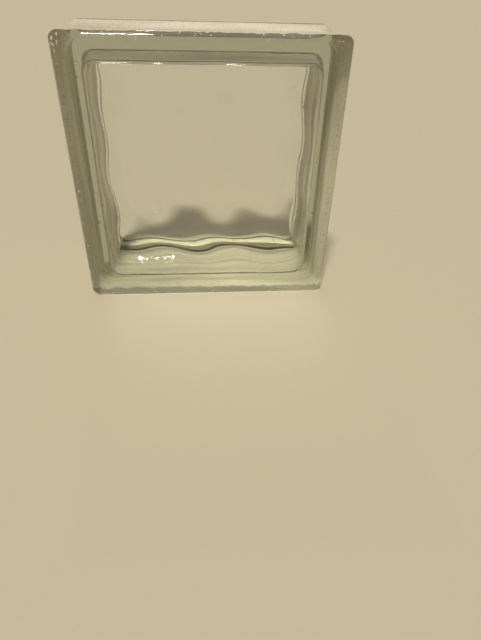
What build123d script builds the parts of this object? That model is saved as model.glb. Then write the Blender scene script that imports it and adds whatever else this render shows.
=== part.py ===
from build123d import *
import math
import os

# A hollow glass block: two pressed glass trays, melted together rim to rim.
# Millimetres, +Z up. The block stands on its bottom rims and its front face looks along -Y.
# The origin is the middle of the footprint, at the level that the block stands on.
# Each tray is made lying on its outer face, its local Z running into the block, and is then turned
# into its place.

# Overall size
block_width = 190.0
block_height = 190.0
block_depth = 80.0

# Outside of a tray: a flat rim round the face, then a slope down into the mortar channel
rim_corner_radius = 6.0
face_edge_radius = 4.5
rim_land_width = 13.0
rim_brow_radius = 2.5
shoulder_width = 9.0
channel_root_radius = 3.5
channel_depth = 6.2
channel_corner_radius = 9.0

# Bead of glass that the melted joint leaves round the middle of the channel
bead_height = 1.0
bead_half_width = 1.8
bead_crest_half_width = 0.6

# Inside of a tray
face_glass = 7.4
wall_glass = 6.7
wall_draft = 6.5
hollow_corner_radius = 9.0
hollow_foot_bevel = 2.5

# Waves pressed into the inner side of a face: how far they can reach above and below its mean
# thickness, and the trains that cross there, each with its share of that height, its heading in
# degrees from the tray's local X, its distance from crest to crest and where it starts, in degrees
wave_reach = 1.8
wave_trains = (
    (0.24, 151.0, 71.0, 308.0),
    (0.25, 39.0, 48.0, 0.0),
    (0.14, 90.0, 40.0, 276.0),
    (0.15, 134.0, 33.0, 38.0),
    (0.22, 41.0, 44.0, 188.0),
)
grid_steps_per_wave = 5
wave_tolerance = 0.02

# Corners whose levels differ by less than this are at one level
level_tolerance = 0.0001

half_depth = block_depth / 2
middle_height = block_height / 2


def outline(inset, radius, level):
    """A section of the tray, drawn in from the block's sides by an inset."""
    with BuildSketch(Plane.XY.offset(level)) as section:
        RectangleRounded(block_width - 2 * inset, block_height - 2 * inset, radius)
    return section.sketch.face()


def straight(inset, radius, low, high):
    """A stretch of the tray with upright sides."""
    return Solid.extrude(outline(inset, radius, low), Vector(0, 0, high - low))


def sloped(low_outline, high_outline):
    """A stretch of the tray with sloping sides."""
    return Solid.make_loft([low_outline.outer_wire(), high_outline.outer_wire()], ruled=True)


def edges_at(solid, level):
    """The edges that run round the tray at one level."""
    return [
        edge
        for edge in solid.edges()
        if all(abs(corner.Z - level) < level_tolerance for corner in edge.vertices())
    ]


def tray_outside():
    """The outside of a tray: face, rim, shoulder, mortar channel and half of the bead."""
    shoulder_end = rim_land_width + shoulder_width
    bead_foot = half_depth - bead_half_width
    bead_crest = half_depth - bead_crest_half_width
    crest_inset = channel_depth - bead_height

    rim = straight(0, rim_corner_radius, 0, rim_land_width)
    rim_outline = outline(0, rim_corner_radius, rim_land_width)
    root_outline = outline(channel_depth, channel_corner_radius, shoulder_end)
    shoulder = sloped(rim_outline, root_outline)
    channel = straight(channel_depth, channel_corner_radius, shoulder_end, half_depth)
    body = rim.fuse(shoulder, channel)
    body = body.fillet(face_edge_radius, edges_at(body, 0))
    body = body.fillet(rim_brow_radius, edges_at(body, rim_land_width))
    body = body.fillet(channel_root_radius, edges_at(body, shoulder_end))

    foot_outline = outline(channel_depth, channel_corner_radius, bead_foot)
    crest_outline = outline(crest_inset, channel_corner_radius, bead_crest)
    bead_slope = sloped(foot_outline, crest_outline)
    bead_crown = straight(crest_inset, channel_corner_radius, bead_crest, half_depth)
    return body.fuse(bead_slope, bead_crown)


def wave_height(x, y):
    """How far the waves lift the inner side of the face at a point."""
    height = 0.0
    for share, heading, crest_to_crest, start in wave_trains:
        angle = math.radians(heading)
        travel = x * math.cos(angle) + y * math.sin(angle)
        height += share * math.sin(2 * math.pi * travel / crest_to_crest + math.radians(start))
    return wave_reach * height


def above_the_waves():
    """The space over the waved inner side of the face, reaching past the mouth of the tray."""
    pitch = min(train[2] for train in wave_trains) / grid_steps_per_wave
    columns = math.ceil(block_width / pitch)
    rows = math.ceil(block_height / pitch)
    grid = [
        [
            (block_width * (i / columns - 0.5), block_height * (j / rows - 0.5))
            for j in range(rows + 1)
        ]
        for i in range(columns + 1)
    ]
    points = [[Vector(x, y, face_glass + wave_height(x, y)) for x, y in row] for row in grid]
    inner_side = Face.make_surface_from_array_of_points(points, tol=wave_tolerance)
    return Solid.extrude(inner_side, Vector(0, 0, half_depth))


def drafted_bar(mouth_width, end_level, plane):
    """A bar with two of the plunger's drafted sides, along the axis that its plane looks down."""
    lean = (half_depth - end_level) * math.tan(math.radians(wall_draft))
    mouth = mouth_width / 2
    with BuildSketch(plane) as section:
        with BuildLine():
            Polyline(
                (-mouth, half_depth),
                (mouth, half_depth),
                (mouth - lean, end_level),
                (lean - mouth, end_level),
                close=True,
            )
        make_face()
    return extrude(section.sketch, amount=max(block_width, block_height), both=True)


def plunger():
    """The drafted plunger that presses the hollow, down to a flat end below the lowest wave."""
    wall_inset = channel_depth + wall_glass
    end_level = face_glass - wave_reach
    across = drafted_bar(block_width - 2 * wall_inset, end_level, Plane.XZ)
    along = drafted_bar(block_height - 2 * wall_inset, end_level, Plane.YZ)
    body = (across & along).solids()[0]
    corners = [edge for edge in body.edges() if edge.bounding_box().size.Z > half_depth - face_glass]
    return body.fillet(hollow_corner_radius, corners)


def inner_bead():
    """The part of the melted bead that stands into the hollow, at the tray's mouth."""
    wall_inset = channel_depth + wall_glass
    foot = half_depth - bead_half_width
    crest = half_depth - bead_crest_half_width
    ring = straight(channel_depth, channel_corner_radius, foot, half_depth)
    foot_outline = outline(wall_inset, hollow_corner_radius, foot)
    crest_outline = outline(wall_inset + bead_height, hollow_corner_radius, crest)
    neck = sloped(foot_outline, crest_outline)
    throat = straight(wall_inset + bead_height, hollow_corner_radius, crest, half_depth)
    return ring.cut(neck, throat)


def tray_hollow():
    """The space inside a tray: its floor is waved and bevelled to the walls, its mouth has the bead."""
    space = plunger().intersect(above_the_waves()).solids()[0]
    waved_floor = space.faces().filter_by(GeomType.BSPLINE)[0]
    space = space.chamfer(hollow_foot_bevel, None, waved_floor.edges())
    return space.cut(inner_bead()).solids()[0]


def pressed_tray():
    """One pressed half of the block."""
    return tray_outside().cut(tray_hollow()).solids()[0]


tray = pressed_tray()
placings = {
    "front_half": Plane((0, -half_depth, middle_height), x_dir=(1, 0, 0), z_dir=(0, 1, 0)),
    "back_half": Plane((0, half_depth, middle_height), x_dir=(-1, 0, 0), z_dir=(0, -1, 0)),
}

os.makedirs("parts", exist_ok=True)
for name, placing in placings.items():
    half = tray.moved(placing.location)
    export_step(half, f"parts/{name}.step")
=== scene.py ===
import math

import bpy
from mathutils import Matrix, Vector


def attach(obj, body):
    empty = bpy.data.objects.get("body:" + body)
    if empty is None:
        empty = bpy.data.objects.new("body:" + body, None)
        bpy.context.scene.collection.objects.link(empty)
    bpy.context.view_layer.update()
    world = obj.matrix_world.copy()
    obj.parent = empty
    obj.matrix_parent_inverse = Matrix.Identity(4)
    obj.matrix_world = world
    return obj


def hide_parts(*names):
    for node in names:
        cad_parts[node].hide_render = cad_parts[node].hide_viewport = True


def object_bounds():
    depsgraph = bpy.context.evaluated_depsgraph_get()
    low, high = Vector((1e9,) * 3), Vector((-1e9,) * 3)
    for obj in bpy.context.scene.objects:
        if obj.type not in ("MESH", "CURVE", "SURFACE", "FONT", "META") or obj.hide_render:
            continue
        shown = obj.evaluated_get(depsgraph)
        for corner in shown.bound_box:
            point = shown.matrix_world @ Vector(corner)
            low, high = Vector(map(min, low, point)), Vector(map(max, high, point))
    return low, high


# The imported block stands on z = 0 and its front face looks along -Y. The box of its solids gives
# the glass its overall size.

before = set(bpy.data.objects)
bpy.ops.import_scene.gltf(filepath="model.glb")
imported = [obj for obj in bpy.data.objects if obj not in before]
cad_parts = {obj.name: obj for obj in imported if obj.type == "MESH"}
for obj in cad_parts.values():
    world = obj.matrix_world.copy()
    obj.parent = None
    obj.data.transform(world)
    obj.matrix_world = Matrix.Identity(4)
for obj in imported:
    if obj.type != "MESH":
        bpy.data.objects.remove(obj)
cad_low, cad_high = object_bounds()

# Camera: it stands where the photograph was taken from, 3 cm above the level of the block's top
# and 0.38 m in front of its middle, and looks 36 degrees down. Its place and its lens were fitted
# to the block's outline.

CAMERA_PLACE = Vector((-0.0051, -0.3832, 0.2214))
CAMERA_RIGHT = Vector((0.9968, -0.0764, 0.0247))
CAMERA_UP = Vector((0.0247, 0.5846, 0.8109))
CAMERA_LENS = 27.35
CAMERA_NEAREST = 0.01

camera_data = bpy.data.cameras.new("photo_camera")
camera_data.lens = CAMERA_LENS
camera_data.clip_start = CAMERA_NEAREST
camera = bpy.data.objects.new("photo_camera", camera_data)
camera_turn = Matrix((CAMERA_RIGHT, CAMERA_UP, CAMERA_RIGHT.cross(CAMERA_UP))).transposed()
camera.matrix_world = Matrix.Translation(CAMERA_PLACE) @ camera_turn.to_4x4()
bpy.context.scene.collection.objects.link(camera)
bpy.context.scene.camera = camera

# Floor: a plain pale matt floor, warm like the light in the photograph. It reaches out so far that
# the glass shows it in nearly all of its bends.

FLOOR_HALF = 9.0
FLOOR_COLOR = (0.59, 0.53, 0.395, 1)
FLOOR_ROUGHNESS = 0.9
FLOOR_SHINE = 0.2


def plain_material(name):
    """A new material and its Principled shader."""
    material = bpy.data.materials.new(name)
    material.use_nodes = True
    return material, material.node_tree.nodes["Principled BSDF"]


def mesh_object(name, vertices, faces):
    """A new object at the origin whose mesh has these vertices, in metres, and faces."""
    mesh = bpy.data.meshes.new(name)
    mesh.from_pydata(vertices, [], faces)
    mesh.update()
    made = bpy.data.objects.new(name, mesh)
    bpy.context.scene.collection.objects.link(made)
    return made


floor_corners = [
    (-FLOOR_HALF, -FLOOR_HALF, 0),
    (FLOOR_HALF, -FLOOR_HALF, 0),
    (FLOOR_HALF, FLOOR_HALF, 0),
    (-FLOOR_HALF, FLOOR_HALF, 0),
]
floor = mesh_object("floor", floor_corners, [(0, 1, 2, 3)])
floor_material, floor_shader = plain_material("studio_floor")
floor_shader.inputs["Base Color"].default_value = FLOOR_COLOR
floor_shader.inputs["Roughness"].default_value = FLOOR_ROUGHNESS
floor_shader.inputs["Specular IOR Level"].default_value = FLOOR_SHINE
floor.data.materials.append(floor_material)

# Studio light: a soft surround, one key light that comes from high in front, a little from the
# left, and a faint small lamp behind the block, which glints in the ripples inside. The lamps are
# far off, so that the floor is lit evenly as far as the glass can show it.

SURROUND_LIGHT = (0.25, 0.237, 0.205, 1)
LAMP_COLOR = (1.0, 0.95, 0.87)
KEY_FROM = Vector((-0.14, -0.45, 0.87))
KEY_STRENGTH = 2.5
KEY_SPREAD = math.radians(7)
GLINT_FROM = Vector((-0.09, 0.76, 0.64))
GLINT_STRENGTH = 0.09
GLINT_SPREAD = math.radians(2.2)

world = bpy.data.worlds.new("studio")
world.use_nodes = True
world.node_tree.nodes["Background"].inputs["Color"].default_value = SURROUND_LIGHT
bpy.context.scene.world = world


def distant_lamp(name, way, strength, spread):
    """A lamp far off on one side, of the scene's warm white."""
    lamp_data = bpy.data.lights.new(name, "SUN")
    lamp_data.energy = strength
    lamp_data.angle = spread
    lamp_data.color = LAMP_COLOR
    lamp = bpy.data.objects.new(name, lamp_data)
    lamp.rotation_euler = way.to_track_quat("Z", "Y").to_euler()
    bpy.context.scene.collection.objects.link(lamp)


distant_lamp("key", KEY_FROM, KEY_STRENGTH, KEY_SPREAD)
distant_lamp("glint", GLINT_FROM, GLINT_STRENGTH, GLINT_SPREAD)

# Glass needs many bounces: light goes to and fro between the white coat and the clear skin. The
# glints keep their full strength, without a limit.
MOST_BOUNCES = 40
BOUNCES_THROUGH_GLASS = 32
BOUNCES_OFF_COAT = 16
BOUNCES_OFF_GLASS = 16
NO_LIMIT = 0.0

bpy.context.scene.view_settings.view_transform = "Standard"
light_paths = bpy.context.scene.cycles
light_paths.max_bounces = MOST_BOUNCES
light_paths.transmission_bounces = BOUNCES_THROUGH_GLASS
light_paths.diffuse_bounces = BOUNCES_OFF_COAT
light_paths.glossy_bounces = BOUNCES_OFF_GLASS
light_paths.sample_clamp_indirect = NO_LIMIT

# Glass block: two trays of soda-lime glass, each pressed in one piece by a drafted plunger whose
# end waves the inner side of the face, then melted together rim to rim. It is one closed skin
# outside and one round the sealed hollow, so that light meets no joint inside the glass.

# Overall size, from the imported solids. The glass is drawn to it in millimetres and scaled to
# metres point by point.
MM = 0.001
WIDTH, DEPTH, HEIGHT = [(cad_high[axis] - cad_low[axis]) / MM for axis in range(3)]
HALF_DEPTH = DEPTH / 2
MIDDLE = HEIGHT / 2

# Outside of a tray: a flat rim round the face, then a slope down into the mortar channel. Towards
# the flat of the face the corners of the rings shrink with the rings, down to the least corner.
RIM_CORNER = 6.0
FACE_EDGE = 4.5
RIM_LAND = 13.0
RIM_BROW = 2.5
SHOULDER = 9.0
CHANNEL_ROOT = 3.5
CHANNEL_DEPTH = 6.2
CHANNEL_CORNER = 9.0
LEAST_CORNER = 1.5

# Bead of the melted joint, whose flank and brow are shares of its height
BEAD_HEIGHT = 1.0
BEAD_HALF = 1.8
BEAD_CREST_HALF = 0.6
BEAD_FLANK = 0.5
BEAD_BROW = 0.9

# Hollow of a tray, and the share of the waves that is left at the top of its round foot
FACE_GLASS = 7.4
WALL_GLASS = 6.7
WALL_DRAFT = math.radians(6.5)
HOLLOW_CORNER = 9.0
FOOT_ROUND = 3.2
WAVES_ABOVE_FOOT = 0.5

# Fineness of the mesh: the steps of each stretch, the cells from the middle of a side to the
# middle of its corner, how many of those lie on the corner, the guard that keeps a flat's shading
# flat up to its ends, and how far from the sides the innermost ring of the face lies
EDGE_STEPS = 8
BEND_STEPS = 5
LAND_STEPS = 4
SLOPE_STEPS = 5
CHANNEL_STEPS = 5
FOOT_STEPS = 8
WALL_STEPS = 12
WAVE_FADE_STEPS = 5
CELLS = 50
CORNER_CELLS = 6
GUARD = 0.25
INNERMOST_RING = 3 * FACE_EDGE

mouth_inset = CHANNEL_DEPTH + WALL_GLASS
bead_foot = HALF_DEPTH - BEAD_HALF
bead_crest = HALF_DEPTH - BEAD_CREST_HALF


def along_side(step, half_along, half_across, corner, cells, corner_cells):
    """A point of one side of a rounded rectangle, with some of its steps on each half corner."""
    straight_cells = cells - corner_cells
    if abs(step) <= straight_cells:
        return (half_along - corner) * step / straight_cells, half_across
    turn = math.radians(45) * (abs(step) - straight_cells) / corner_cells
    along = half_along - corner + corner * math.sin(turn)
    return math.copysign(along, step), half_across - corner + corner * math.cos(turn)


def ring_points(inset, corner):
    """A rounded rectangle drawn in from the block's sides, as points of the tray's own plane."""
    half_x, half_y = WIDTH / 2 - inset, HEIGHT / 2 - inset
    steps = range(-CELLS, CELLS)
    top = [along_side(s, half_x, half_y, corner, CELLS, CORNER_CELLS) for s in steps]
    left = [along_side(s, half_y, half_x, corner, CELLS, CORNER_CELLS) for s in steps]
    points = [(-along, across) for along, across in top]
    points += [(-across, -along) for along, across in left]
    points += [(along, -across) for along, across in top]
    points += [(across, along) for along, across in left]
    return points


def arc(centre_inset, centre_level, radius, start, end, count):
    """Points of a profile on a round, as insets and levels, from one angle to another."""
    angles = [start + (end - start) * n / count for n in range(count + 1)]
    return [
        (centre_inset - radius * math.cos(a), centre_level + radius * math.sin(a)) for a in angles
    ]


def between(start, end, count):
    """The evenly spaced points between two points of a profile."""
    return [
        tuple(a + (b - a) * n / count for a, b in zip(start, end)) for n in range(1, count)
    ]


def upright(inset, low, high, count):
    """Points of an upright stretch of a profile, with a guard close inside each end."""
    low_end, high_end = (inset, low + GUARD), (inset, high - GUARD)
    return [low_end, *between((inset, low), (inset, high), count), high_end]


def bead_steps():
    """The bead's side, as levels and heights, from its flank to the joint."""
    return [
        ((bead_foot + bead_crest) / 2, BEAD_HEIGHT * BEAD_FLANK),
        (bead_crest, BEAD_HEIGHT * BEAD_BROW),
        (HALF_DEPTH, BEAD_HEIGHT),
    ]


def outside_profile():
    """The tray's outside, from the flat of the face to the joint, as insets and levels."""
    lean = math.atan2(CHANNEL_DEPTH, SHOULDER)
    brow_start = RIM_LAND - RIM_BROW * math.tan(lean / 2)
    root_end = RIM_LAND + SHOULDER + CHANNEL_ROOT * math.tan(lean / 2)
    root_centre = CHANNEL_DEPTH - CHANNEL_ROOT
    edge = arc(FACE_EDGE, FACE_EDGE, FACE_EDGE, -math.pi / 2, 0, EDGE_STEPS)
    brow = arc(RIM_BROW, brow_start, RIM_BROW, 0, lean, BEND_STEPS)
    root = arc(root_centre, root_end, CHANNEL_ROOT, math.pi + lean, math.pi, BEND_STEPS)
    profile = [(INNERMOST_RING, 0), (FACE_EDGE + GUARD, 0), *edge]
    profile += upright(0, FACE_EDGE, brow_start, LAND_STEPS)
    profile += [*brow, *between(brow[-1], root[0], SLOPE_STEPS), *root]
    profile += upright(CHANNEL_DEPTH, root_end, bead_foot, CHANNEL_STEPS)
    profile.append((CHANNEL_DEPTH, bead_foot))
    profile += [(CHANNEL_DEPTH - height, level) for level, height in bead_steps()]
    return profile


def outside_corner(inset, level):
    """The corner radius of the tray's outside at one point of its profile."""
    if level < FACE_EDGE:
        return max(RIM_CORNER - inset, LEAST_CORNER)
    down = min(max((level - RIM_LAND) / SHOULDER, 0), 1)
    return RIM_CORNER + (CHANNEL_CORNER - RIM_CORNER) * down


def hollow_profile():
    """The hollow's wall, from its foot at the waved face to the joint: inset, level, wave share."""
    turn = math.pi / 2 - WALL_DRAFT
    wall_foot = mouth_inset + (HALF_DEPTH - FACE_GLASS) * math.tan(WALL_DRAFT)
    foot_start = wall_foot + FOOT_ROUND * math.tan(turn / 2)
    rings = []
    for n in range(FOOT_STEPS + 1):
        angle = turn * n / FOOT_STEPS
        inset = foot_start - FOOT_ROUND * math.sin(angle)
        level = FACE_GLASS + FOOT_ROUND * (1 - math.cos(angle))
        share = 1 - (1 - WAVES_ABOVE_FOOT) * (n / FOOT_STEPS) ** 2
        rings.append((inset, level, share))
    foot_top = rings[-1][1]
    for n in range(1, WALL_STEPS + 1):
        level = foot_top + (bead_foot - foot_top) * n / WALL_STEPS
        inset = mouth_inset + (HALF_DEPTH - level) * math.tan(WALL_DRAFT)
        share = WAVES_ABOVE_FOOT * max(1 - n / WAVE_FADE_STEPS, 0) ** 2
        rings.append((inset, level, share))
    wall_top = rings[-1][0]
    rings += [(wall_top + height, level, 0) for level, height in bead_steps()]
    return rings


def floor_point(i, j, half_x, half_y):
    """A point of the waved floor's grid, which is square in the middle and rounded at its rim."""
    k = max(abs(i), abs(j))
    if k == 0:
        return 0.0, 0.0
    size = k / CELLS
    square = half_x * i / CELLS, half_y * j / CELLS
    corner, corner_cells = HOLLOW_CORNER * size, CORNER_CELLS * size
    if abs(j) == k:
        along, across = along_side(i, half_x * size, half_y * size, corner, k, corner_cells)
        rounded = along, math.copysign(across, j)
    else:
        along, across = along_side(j, half_y * size, half_x * size, corner, k, corner_cells)
        rounded = math.copysign(across, i), along
    share = max(2 * size - 1, 0) ** 2
    return tuple(a + (b - a) * share for a, b in zip(square, rounded))


# Two marks go with each point: the share of the waves that lifts it, and how much the chill of
# the mould ripples it, which is most on the foot and nothing outside.
FOOT_UNREST = 2.5
tray_points, tray_faces, wave_shares, chill_shares = [], [], [], []


def add_points(points, level, wave_share, chill_share):
    """Adds points of the front tray's plane at one level and returns their numbers."""
    first = len(tray_points)
    for x, y in points:
        tray_points.append(Vector((x, level - HALF_DEPTH, MIDDLE - y)) * MM)
        wave_shares.append(wave_share)
        chill_shares.append(chill_share)
    return list(range(first, len(tray_points)))


def add_strip(ring, next_ring):
    """Adds the faces between two rings."""
    count = len(ring)
    for n in range(count):
        m = (n + 1) % count
        tray_faces.append((ring[n], ring[m], next_ring[m], next_ring[n]))


def add_outside():
    """Adds the tray's outside: the flat of its face and the rings round it, up to the joint."""
    rings = [
        add_points(ring_points(inset, outside_corner(inset, level)), level, 0.0, 0.0)
        for inset, level in outside_profile()
    ]
    tray_faces.append(tuple(reversed(rings[0])))
    for ring, next_ring in zip(rings, rings[1:]):
        add_strip(ring, next_ring)


def add_floor(foot_inset):
    """Adds the waved floor of the hollow and returns the ring of its rim."""
    half_x, half_y = WIDTH / 2 - foot_inset, HEIGHT / 2 - foot_inset
    grid = {}
    for i in range(-CELLS, CELLS + 1):
        for j in range(-CELLS, CELLS + 1):
            point = floor_point(i, j, half_x, half_y)
            grid[i, j] = add_points([point], FACE_GLASS, 1.0, 1.0)[0]
    for i in range(-CELLS, CELLS):
        for j in range(-CELLS, CELLS):
            tray_faces.append((grid[i, j], grid[i + 1, j], grid[i + 1, j + 1], grid[i, j + 1]))
    rim = [grid[-s, CELLS] for s in range(-CELLS, CELLS)]
    rim += [grid[-CELLS, -s] for s in range(-CELLS, CELLS)]
    rim += [grid[s, -CELLS] for s in range(-CELLS, CELLS)]
    rim += [grid[CELLS, s] for s in range(-CELLS, CELLS)]
    return rim


def add_hollow():
    """Adds the hollow: its waved floor, its round foot, its drafted wall and its half bead."""
    profile = hollow_profile()
    ring = add_floor(profile[0][0])
    for n, (inset, level, wave_share) in enumerate(profile[1:], 1):
        on_foot = math.sin(math.pi * min(n / (FOOT_STEPS + 1), 1))
        chill_share = min((HALF_DEPTH - level) / BEAD_HALF, 1) + FOOT_UNREST * on_foot
        next_ring = add_points(ring_points(inset, HOLLOW_CORNER), level, wave_share, chill_share)
        add_strip(next_ring, ring)
        ring = next_ring


add_outside()
add_hollow()
glass = mesh_object("glass_block", tray_points, tray_faces)
for name, shares in (("wave_share", wave_shares), ("chill_share", chill_shares)):
    attribute = glass.data.attributes.new(name, "FLOAT", "POINT")
    attribute.data.foreach_set("value", shares)

# Waves of the plunger's end: how far they can reach, and the trains that cross there, each with
# its share of that reach, its heading in degrees from X, its distance from crest to crest and
# where it starts, in degrees
WAVE_REACH = 1.8
WAVE_TRAINS = (
    (0.24, 151.0, 71.0, 308.0),
    (0.25, 39.0, 48.0, 0.0),
    (0.14, 90.0, 40.0, 276.0),
    (0.15, 134.0, 33.0, 38.0),
    (0.22, 41.0, 44.0, 188.0),
)

# Chill ripple, which the cool mould leaves inside: its height, and how fine and how busy it is
CHILL_RIPPLE = 0.08
CHILL_SCALE = 125.0
CHILL_DETAIL = 2.0
NOISE_MEAN = 0.5

# Seeds, the small gas bubbles that pressed glass keeps, shut in the glass of the face: balls of
# one radius, each stretched by a random draw between the least and the most
SEEDS_IN_A_TRAY = 26
SEED_RADIUS = 0.4
SEED_SEGMENTS = 10
SEED_RINGS = 6
SEED_LEAST = Vector((0.2, 0.2, 0.25))
SEED_MOST = Vector((1.1, 0.7, 1.4))
SEED_SIZE_DRAW = 3
SEED_PLACES_LOW = Vector((-72, 1.5 - HALF_DEPTH, 22))
SEED_PLACES_HIGH = Vector((72, 4.5 - HALF_DEPTH, 168))
SEED_PLACE_DRAW = 7

# Points of the two trays that are closer than this at the joint melt into one
MELT_REACH = 0.01

# Chips, small bites out of the lower front corners and edge: each with its spot, the way out of
# the glass there, the radius of the bite and its depth
CHIPS = (
    ((-92.7, -38.1, 2.3), (-1, -1, -1), 4.2, 1.7),
    ((-88.0, -38.7, 1.3), (0.2, -1, -1), 4.0, 1.1),
    ((-83.5, -38.7, 1.3), (0.3, -0.8, -1), 3.0, 0.7),
    ((92.7, -38.1, 2.3), (1, -1, -1), 4.4, 1.8),
    ((87.0, -38.7, 1.3), (-0.1, -1, -1), 5.0, 1.2),
    ((82.0, -38.7, 1.3), (-0.2, -0.8, -1), 3.0, 0.7),
    ((93.7, -38.7, 8.5), (1, -1, 0.1), 2.8, 0.9),
)

glass_material, glass_shader = plain_material("pressed_glass")


def tree_input(tree, name, kind="NodeSocketFloat"):
    """A named input of a node group."""
    return tree.interface.new_socket(name, in_out="INPUT", socket_type=kind)


def feed(tree, slot, value):
    """Feeds a node's input from a socket or with a plain value."""
    if isinstance(value, bpy.types.NodeSocket):
        tree.links.new(value, slot)
    else:
        slot.default_value = value


def calculate(tree, operation, *values):
    """The result of a Math node on sockets or plain numbers."""
    node = tree.nodes.new("ShaderNodeMath")
    node.operation = operation
    for slot, value in zip(node.inputs, values):
        feed(tree, slot, value)
    return node.outputs[0]


def node_after(tree, kind, source):
    """A new node of a kind, with its first input fed by a socket."""
    node = tree.nodes.new(kind)
    tree.links.new(source, node.inputs[0])
    return node


def vector_math(tree, operation, source):
    """A Vector Math node, with its first input fed by a socket."""
    node = node_after(tree, "ShaderNodeVectorMath", source)
    node.operation = operation
    return node


def scaled(tree, vector, factor):
    """A vector times a factor."""
    node = vector_math(tree, "SCALE", vector)
    tree.links.new(factor, node.inputs["Scale"])
    return node.outputs[0]


def shifted(tree, shape, offset):
    """A shape with each of its points moved by an offset."""
    node = node_after(tree, "GeometryNodeSetPosition", shape)
    tree.links.new(offset, node.inputs["Offset"])
    return node.outputs[0]


def joined(tree, shape, other):
    """Two shapes as one."""
    node = node_after(tree, "GeometryNodeJoinGeometry", shape)
    tree.links.new(other, node.inputs[0])
    return node.outputs[0]


def mark(tree, name):
    """A named mark on the shape's points."""
    node = tree.nodes.new("GeometryNodeInputNamedAttribute")
    node.data_type = "FLOAT"
    node.inputs["Name"].default_value = name
    return node.outputs["Attribute"]


def random_vector(tree, low, high, draw):
    """A random vector for each point, between two ends."""
    node = tree.nodes.new("FunctionNodeRandomValue")
    node.data_type = "FLOAT_VECTOR"
    node.inputs["Min"].default_value = low
    node.inputs["Max"].default_value = high
    node.inputs["Seed"].default_value = draw
    return node.outputs["Value"]


def wave_train_tree():
    """The node group of one wave train: its height at a place on the face."""
    tree = bpy.data.node_groups.new("wave_train", "GeometryNodeTree")
    for name in ("Across", "Up", "Share", "Heading", "Crest to Crest", "Start"):
        tree_input(tree, name)
    tree.interface.new_socket("Height", in_out="OUTPUT", socket_type="NodeSocketFloat")
    given = tree.nodes.new("NodeGroupInput").outputs
    heading = calculate(tree, "RADIANS", given["Heading"])
    along_x = calculate(tree, "MULTIPLY", given["Across"], calculate(tree, "COSINE", heading))
    along_up = calculate(tree, "MULTIPLY", given["Up"], calculate(tree, "SINE", heading))
    travel = calculate(tree, "ADD", along_x, along_up)
    turns = calculate(tree, "DIVIDE", travel, given["Crest to Crest"])
    start = calculate(tree, "RADIANS", given["Start"])
    phase = calculate(tree, "MULTIPLY_ADD", turns, math.tau, start)
    height = calculate(tree, "MULTIPLY", calculate(tree, "SINE", phase), given["Share"])
    node_after(tree, "NodeGroupOutput", height)
    return tree


def waved(tree, tray, position, reach):
    """The tray with the crossing wave trains pressed into the hollow's floor."""
    train_tree = wave_train_tree()
    place = node_after(tree, "ShaderNodeSeparateXYZ", position).outputs
    below_middle = calculate(tree, "SUBTRACT", MIDDLE * MM, place["Z"])
    height = 0.0
    for share, heading, crest_to_crest, start in WAVE_TRAINS:
        train = tree.nodes.new("GeometryNodeGroup")
        train.node_tree = train_tree
        feed(tree, train.inputs["Across"], place["X"])
        feed(tree, train.inputs["Up"], below_middle)
        feed(tree, train.inputs["Share"], share)
        feed(tree, train.inputs["Heading"], heading)
        feed(tree, train.inputs["Crest to Crest"], crest_to_crest * MM)
        feed(tree, train.inputs["Start"], start)
        height = calculate(tree, "ADD", train.outputs["Height"], height)
    lift = calculate(tree, "MULTIPLY", height, reach)
    lift = calculate(tree, "MULTIPLY", lift, mark(tree, "wave_share"))
    inward = tree.nodes.new("ShaderNodeCombineXYZ")
    tree.links.new(lift, inward.inputs["Y"])
    return shifted(tree, tray, inward.outputs[0])


def rippled(tree, tray, ripple):
    """The tray with the chill ripple on the inside."""
    chill = tree.nodes.new("ShaderNodeTexNoise")
    chill.inputs["Scale"].default_value = CHILL_SCALE
    chill.inputs["Detail"].default_value = CHILL_DETAIL
    swing = calculate(tree, "SUBTRACT", chill.outputs[0], NOISE_MEAN)
    swing = calculate(tree, "MULTIPLY", swing, ripple)
    swing = calculate(tree, "MULTIPLY", swing, mark(tree, "chill_share"))
    outward = tree.nodes.new("GeometryNodeInputNormal").outputs[0]
    return shifted(tree, tray, scaled(tree, outward, swing))


def seeded(tree, tray, count, radius):
    """The tray with seeds in its face, whose skins look inward, to the gas."""
    bubble = tree.nodes.new("GeometryNodeMeshUVSphere")
    bubble.inputs["Segments"].default_value = SEED_SEGMENTS
    bubble.inputs["Rings"].default_value = SEED_RINGS
    tree.links.new(radius, bubble.inputs["Radius"])
    seed = node_after(tree, "GeometryNodeFlipFaces", bubble.outputs["Mesh"])
    places = tree.nodes.new("GeometryNodePoints")
    tree.links.new(count, places.inputs["Count"])
    spot = random_vector(tree, SEED_PLACES_LOW * MM, SEED_PLACES_HIGH * MM, SEED_PLACE_DRAW)
    tree.links.new(spot, places.inputs["Position"])
    seeds = node_after(tree, "GeometryNodeInstanceOnPoints", places.outputs[0])
    tree.links.new(seed.outputs[0], seeds.inputs["Instance"])
    size = random_vector(tree, SEED_LEAST, SEED_MOST, SEED_SIZE_DRAW)
    tree.links.new(size, seeds.inputs["Scale"])
    made = node_after(tree, "GeometryNodeRealizeInstances", seeds.outputs[0])
    return joined(tree, tray, made.outputs[0])


def melted_to_its_twin(tree, tray):
    """The block: the tray and a copy of it turned half round, melted into each other."""
    twin = node_after(tree, "GeometryNodeTransform", tray)
    twin.inputs["Rotation"].default_value = (0, 0, math.pi)
    both = joined(tree, tray, twin.outputs[0])
    block = node_after(tree, "GeometryNodeMergeByDistance", both)
    block.inputs["Distance"].default_value = MELT_REACH * MM
    return block.outputs[0]


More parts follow.
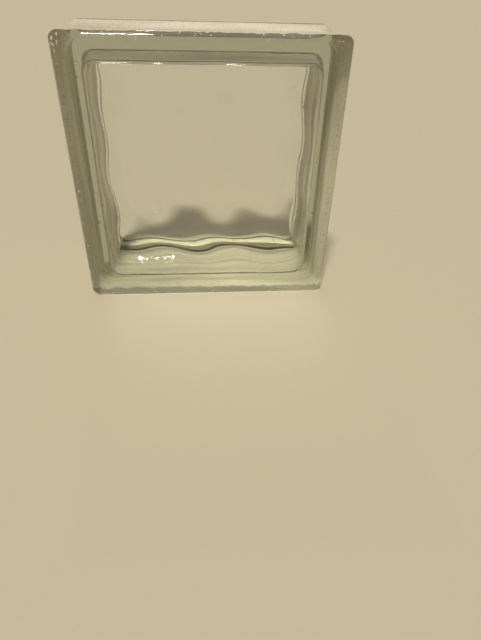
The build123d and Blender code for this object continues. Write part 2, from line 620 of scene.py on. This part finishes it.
def chipped(tree, shape, position, spot, way_out, bite, depth):
    """The shape with one shell-shaped chip: its points inside a ball go out to the ball's skin."""
    away = vector_math(tree, "SUBTRACT", position)
    away.inputs[1].default_value = (spot + way_out.normalized() * (bite - depth)) * MM
    distance = vector_math(tree, "LENGTH", away.outputs[0])
    push = calculate(tree, "SUBTRACT", bite * MM, distance.outputs["Value"])
    direction = vector_math(tree, "NORMALIZE", away.outputs[0])
    marking = node_after(tree, "GeometryNodeStoreNamedAttribute", shape)
    marking.data_type = "FLOAT"
    marking.inputs["Name"].default_value = "chipped"
    in_bite = calculate(tree, "GREATER_THAN", push, 0.0)
    bitten = calculate(tree, "MAXIMUM", in_bite, mark(tree, "chipped"))
    tree.links.new(bitten, marking.inputs["Value"])
    offset = scaled(tree, direction.outputs[0], calculate(tree, "MAXIMUM", push, 0.0))
    return shifted(tree, marking.outputs[0], offset)


# The tree waves, ripples and seeds the front tray, melts it to its twin and chips the block.
block_tree = bpy.data.node_groups.new("press_and_melt", "GeometryNodeTree")
tree_input(block_tree, "Tray", "NodeSocketGeometry")
reach_input = tree_input(block_tree, "Wave Reach")
ripple_input = tree_input(block_tree, "Chill Ripple")
seed_radius_input = tree_input(block_tree, "Seed Radius")
seed_count_input = tree_input(block_tree, "Seeds in a Tray", "NodeSocketInt")
block_tree.interface.new_socket("Block", in_out="OUTPUT", socket_type="NodeSocketGeometry")
given = block_tree.nodes.new("NodeGroupInput").outputs
point_place = block_tree.nodes.new("GeometryNodeInputPosition").outputs[0]

tray = waved(block_tree, given["Tray"], point_place, given["Wave Reach"])
tray = rippled(block_tree, tray, given["Chill Ripple"])
tray = seeded(block_tree, tray, given["Seeds in a Tray"], given["Seed Radius"])
block = melted_to_its_twin(block_tree, tray)
for chip_spot, way_out, bite, depth in CHIPS:
    block = chipped(block_tree, block, point_place, Vector(chip_spot), Vector(way_out), bite, depth)
smooth = node_after(block_tree, "GeometryNodeSetShadeSmooth", block)
realized = node_after(block_tree, "GeometryNodeRealizeInstances", smooth.outputs[0])
glazed = node_after(block_tree, "GeometryNodeSetMaterial", realized.outputs[0])
glazed.inputs["Material"].default_value = glass_material
node_after(block_tree, "NodeGroupOutput", glazed.outputs[0])

pressing = glass.modifiers.new("press_and_melt", "NODES")
pressing.node_group = block_tree
pressing[reach_input.identifier] = WAVE_REACH * MM
pressing[ripple_input.identifier] = CHILL_RIPPLE * MM
pressing[seed_radius_input.identifier] = SEED_RADIUS * MM
pressing[seed_count_input.identifier] = SEEDS_IN_A_TRAY
pressed_block = glass.evaluated_get(bpy.context.evaluated_depsgraph_get())
glass_mesh = bpy.data.meshes.new_from_object(pressed_block)
glass.modifiers.clear()
glass.data = glass_mesh
glass_mesh.materials.clear()
glass_mesh.materials.append(glass_material)

# Finish of the block: clear glass with a faint olive cast that shows in long paths, fire-polished
# on the outside. The four sides between the rims carry a sprayed white coat that bonds to mortar.
# It lies on the glass without a gap, so it is a finish of the same skin.

# Glass, and what is left of a lamp's light after one of its skins
GLASS_IOR = 1.52
GLASS_CAST = (0.44, 0.51, 0.37, 1)
GLASS_CAST_DENSITY = 12.0
LAMP_LEFT = (0.92, 0.93, 0.90, 1)

# Coat, as it looks from outside and through the glass; the copy seen through the glass is a little
# darker, as painted shade
COAT_OUTSIDE = (0.87, 0.80, 0.65, 1)
COAT_INSIDE_SHADED = (0.83, 0.775, 0.61, 1)
COAT_TRANSLUCENCE = 0.32
COAT_ROUGHNESS = 0.75
COAT_SHINE = 0.25

# Where the coat lies: how far under the channel's bottom a spot still counts as one of the sides,
# how far over the front face's rounded edge the coat comes, how far before the back face it ends,
# on the upright sides and on the top and bottom, and how much of a chip's mark takes it away
COAT_SINK = 4.0
COAT_OVER_FRONT_EDGE = 1.5
CLEAR_BACK_OF_UPRIGHTS = 1.8
CLEAR_BACK_OF_LEVELS = 9.5
CHIP_MARK_LIMIT = 0.5

# Ragged edges of the coat, and the spatter beside them
RAGGED_REACH = 2.0
RAGGED_SCALE = 160.0
RAGGED_DETAIL = 4.0
SPATTER_SCALE = 420.0
SPATTER_DETAIL = 1.0
SPATTER_THINNING = 0.70
SPATTER_REACH = 5.0

# Tones of the coat: its streaks run round the block and its grain lies everywhere. On the front
# rim's top and bottom, seen from inside through the glass, it is darker: painted shade.
STREAK_STRETCH = (9.0, 95.0, 9.0)
STREAK_DETAIL = 3.0
STREAK_NOISE = (0.34, 0.66)
STREAK_TONES = (0.76, 1.16)
GRAIN_SCALE = 900.0
GRAIN_DETAIL = 2.0
GRAIN_NOISE = (0.52, 0.72)
GRAIN_TONES = (1.0, 0.74)
# Painted shade on the front rim's top and bottom, seen from inside: its reach past the brow, tones,
# fade
SHADE_PAST_BROW = 3.5
PAINTED_SHADE_TONES = (0.5, 1.0)
PAINTED_SHADE_FADE = (-1.0, 0.5)

look = glass_material.node_tree
glass_spot = look.nodes.new("ShaderNodeTexCoord").outputs["Object"]
spot_parts = node_after(look, "ShaderNodeSeparateXYZ", glass_spot).outputs


def noise_on_glass(detail, scale=1.0, stretch=(1, 1, 1)):
    """Noise that lies still in the glass, from 0 to 1."""
    stretched = node_after(look, "ShaderNodeMapping", glass_spot)
    stretched.inputs["Scale"].default_value = stretch
    noise = node_after(look, "ShaderNodeTexNoise", stretched.outputs[0])
    noise.inputs["Scale"].default_value = scale
    noise.inputs["Detail"].default_value = detail
    return noise.outputs[0]


def toned(value, ends, tones):
    """A tone that runs from one end to the other while a value runs between its own ends."""
    tone = node_after(look, "ShaderNodeMapRange", value)
    for name, number in zip(("From Min", "From Max", "To Min", "To Max"), (*ends, *tones)):
        tone.inputs[name].default_value = number
    return tone.outputs[0]


def past_corner_centre(part, middle):
    """How far a spot lies past the centre of a channel's corner, in one direction."""
    corner_centre = (WIDTH / 2 - CHANNEL_DEPTH - CHANNEL_CORNER) * MM
    from_middle = calculate(look, "ABSOLUTE", calculate(look, "SUBTRACT", part, middle))
    return calculate(look, "MAXIMUM", calculate(look, "SUBTRACT", from_middle, corner_centre), 0.0)


def shader_mix(first, second, share):
    """Two shaders mixed, with the second's share from a socket or a plain number."""
    node = look.nodes.new("ShaderNodeMixShader")
    feed(look, node.inputs["Fac"], share)
    look.links.new(first.outputs[0], node.inputs[1])
    look.links.new(second.outputs[0], node.inputs[2])
    return node


# How far a spot lies towards the block's sides, and on which of them
past_x = past_corner_centre(spot_parts["X"], 0.0)
past_z = past_corner_centre(spot_parts["Z"], MIDDLE * MM)
past_z_squared = calculate(look, "MULTIPLY", past_z, past_z)
past_both = calculate(look, "SQRT", calculate(look, "MULTIPLY_ADD", past_x, past_x, past_z_squared))
on_side = calculate(look, "GREATER_THAN", past_both, (CHANNEL_CORNER - COAT_SINK) * MM)
on_upright = calculate(look, "GREATER_THAN", past_x, past_z)

# Where the coat lies: between its ragged edges and in the spatter, but on no chip
coat_front = (HALF_DEPTH - FACE_EDGE + COAT_OVER_FRONT_EDGE) * MM
coat_back_of_levels = (HALF_DEPTH - CLEAR_BACK_OF_LEVELS) * MM
longer_on_uprights = (CLEAR_BACK_OF_LEVELS - CLEAR_BACK_OF_UPRIGHTS) * MM
ragged = calculate(look, "SUBTRACT", noise_on_glass(RAGGED_DETAIL, RAGGED_SCALE), NOISE_MEAN)
fringe = calculate(look, "MULTIPLY", ragged, 2 * RAGGED_REACH * MM)
ragged_y = calculate(look, "ADD", spot_parts["Y"], fringe)
coat_back = calculate(look, "MULTIPLY_ADD", on_upright, longer_on_uprights, coat_back_of_levels)
behind_front = calculate(look, "GREATER_THAN", ragged_y, -coat_front)
before_back = calculate(look, "LESS_THAN", ragged_y, coat_back)
between_edges = calculate(look, "MULTIPLY", behind_front, before_back)
in_spatter = calculate(
    look, "GREATER_THAN", noise_on_glass(SPATTER_DETAIL, SPATTER_SCALE), SPATTER_THINNING
)
spatter_foot = (CHANNEL_DEPTH + CHANNEL_CORNER - SPATTER_REACH) * MM
on_rim = calculate(look, "GREATER_THAN", past_both, spatter_foot)
spattered = calculate(look, "MULTIPLY", in_spatter, on_rim)
sprayed = calculate(look, "MULTIPLY", on_side, between_edges)
covered = calculate(look, "MAXIMUM", sprayed, spattered)
chip_mark = look.nodes.new("ShaderNodeAttribute")
chip_mark.attribute_name = "chipped"
whole = calculate(look, "LESS_THAN", chip_mark.outputs["Fac"], CHIP_MARK_LIMIT)
coated = calculate(look, "MULTIPLY", covered, whole)

# The coat's colour on this side of it, in its tones, with the darker inside copy as painted shade
from_inside = look.nodes.new("ShaderNodeNewGeometry").outputs["Backfacing"]
streaks = toned(noise_on_glass(STREAK_DETAIL, 1.0, STREAK_STRETCH), STREAK_NOISE, STREAK_TONES)
grain = toned(noise_on_glass(GRAIN_DETAIL, GRAIN_SCALE), GRAIN_NOISE, GRAIN_TONES)
# Painted shade: seen from inside, the coat on the front rim's top and bottom is half as bright
painted_shade_end = (HALF_DEPTH - RIM_LAND - SHADE_PAST_BROW) * MM
past_painted_shade = calculate(look, "ADD", ragged_y, painted_shade_end)
painted_shade_tone = toned(past_painted_shade, [end * MM for end in PAINTED_SHADE_FADE], PAINTED_SHADE_TONES)
from_outside = calculate(look, "SUBTRACT", 1.0, from_inside)
full_tone = calculate(look, "MAXIMUM", on_upright, from_outside)
shaded_tone = calculate(look, "MAXIMUM", painted_shade_tone, full_tone)
coat_tone = calculate(look, "MULTIPLY", calculate(look, "MULTIPLY", streaks, grain), shaded_tone)
coat_lit_or_shaded = look.nodes.new("ShaderNodeMix")
coat_lit_or_shaded.data_type = "RGBA"
look.links.new(from_inside, coat_lit_or_shaded.inputs["Factor"])
coat_lit_or_shaded.inputs["A"].default_value = COAT_OUTSIDE
coat_lit_or_shaded.inputs["B"].default_value = COAT_INSIDE_SHADED
coat_color = scaled(look, coat_lit_or_shaded.outputs["Result"], coat_tone)

# The coat itself: matt, and a little light comes through it
coat_shader = look.nodes.new("ShaderNodeBsdfPrincipled")
look.links.new(coat_color, coat_shader.inputs["Base Color"])
coat_shader.inputs["Roughness"].default_value = COAT_ROUGHNESS
coat_shader.inputs["Specular IOR Level"].default_value = COAT_SHINE
through_coat = look.nodes.new("ShaderNodeBsdfTranslucent")
look.links.new(coat_color, through_coat.inputs["Color"])
coat = shader_mix(coat_shader, through_coat, COAT_TRANSLUCENCE)

# The clear glass: a lamp's light goes straight through its skin, so that it casts a pale shadow
glass_shader.inputs["Base Color"].default_value = (1, 1, 1, 1)
glass_shader.inputs["Transmission Weight"].default_value = 1.0
glass_shader.inputs["Roughness"].default_value = 0.0
glass_shader.inputs["IOR"].default_value = GLASS_IOR
lamp_ray = look.nodes.new("ShaderNodeLightPath").outputs["Is Shadow Ray"]
lamp_way = look.nodes.new("ShaderNodeBsdfTransparent")
lamp_way.inputs["Color"].default_value = LAMP_LEFT
clear_glass = shader_mix(glass_shader, lamp_way, lamp_ray)

skin = shader_mix(clear_glass, coat, coated)
cast = look.nodes.new("ShaderNodeVolumeAbsorption")
cast.inputs["Color"].default_value = GLASS_CAST
cast.inputs["Density"].default_value = GLASS_CAST_DENSITY
output = look.nodes["Material Output"]
look.links.new(skin.outputs[0], output.inputs["Surface"])
look.links.new(cast.outputs["Volume"], output.inputs["Volume"])

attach(glass, "root")
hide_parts("front_half", "back_half")
